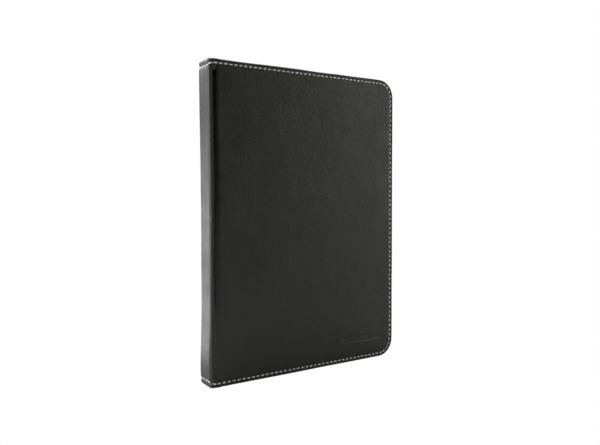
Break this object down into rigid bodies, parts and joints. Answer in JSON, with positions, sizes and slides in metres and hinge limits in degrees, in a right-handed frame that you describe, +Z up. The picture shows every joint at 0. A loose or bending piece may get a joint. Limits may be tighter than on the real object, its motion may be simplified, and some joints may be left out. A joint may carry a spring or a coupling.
{
  "type": "tablet case",
  "caption": "Black faux-leather folio case for a small tablet: stitched front and back covers hinged to a flat spine, with a lined window-frame pocket inside.",
  "frame": {"origin": "the middle of the case's footprint at its bottom edge, with the case closed and standing upright", "axes": "+Z up along the spine, the spine's outer face at -X and the fore-edge at +X, the front cover's outer face at -Y and the back cover's outer face at +Y"},
  "size_m": [0.15, 0.017, 0.206],
  "materials": {
    "leather": "satin",
    "stitching": "matte",
    "board": "matte",
    "lining": "matte",
    "pocket_strip": "matte",
    "steel": "satin"
  },
  "bodies": {
    "back_cover": {"back_leather": "leather", "back_board": "board", "back_lining": "lining", "back_thread": "stitching", "pocket_strip_top": "pocket_strip", "pocket_strip_bottom_a": "pocket_strip", "pocket_strip_bottom_b": "pocket_strip", "pocket_strip_fore_edge": "pocket_strip", "pocket_bezel": "leather", "bezel_thread": "stitching", "keeper_upper": "steel", "keeper_lower": "steel"},
    "spine": {"spine_leather": "leather", "spine_board": "board", "spine_lining": "lining", "spine_thread_top": "stitching", "spine_thread_bottom": "stitching", "back_hinge_leather": "leather", "back_hinge_lining": "lining"},
    "front_cover": {"front_leather": "leather", "front_board": "board", "front_lining": "lining", "front_thread": "stitching", "front_hinge_leather": "leather", "front_hinge_lining": "lining", "magnet_upper": "steel", "magnet_lower": "steel"}
  },
  "joints": [
    {"name": "spine_hinge", "type": "hinge", "parent": "back_cover", "child": "spine", "pos_m": [-0.0736, 0.0071, 0.103], "axis": [0, 0, -1], "range_deg": [0, 180], "deforming": ["back_hinge_leather", "back_hinge_lining"]},
    {"name": "cover_hinge", "type": "hinge", "parent": "spine", "child": "front_cover", "pos_m": [-0.0736, -0.0071, 0.103], "axis": [0, 0, -1], "range_deg": [0, 180], "deforming": ["front_hinge_leather", "front_hinge_lining"]}
  ]
}
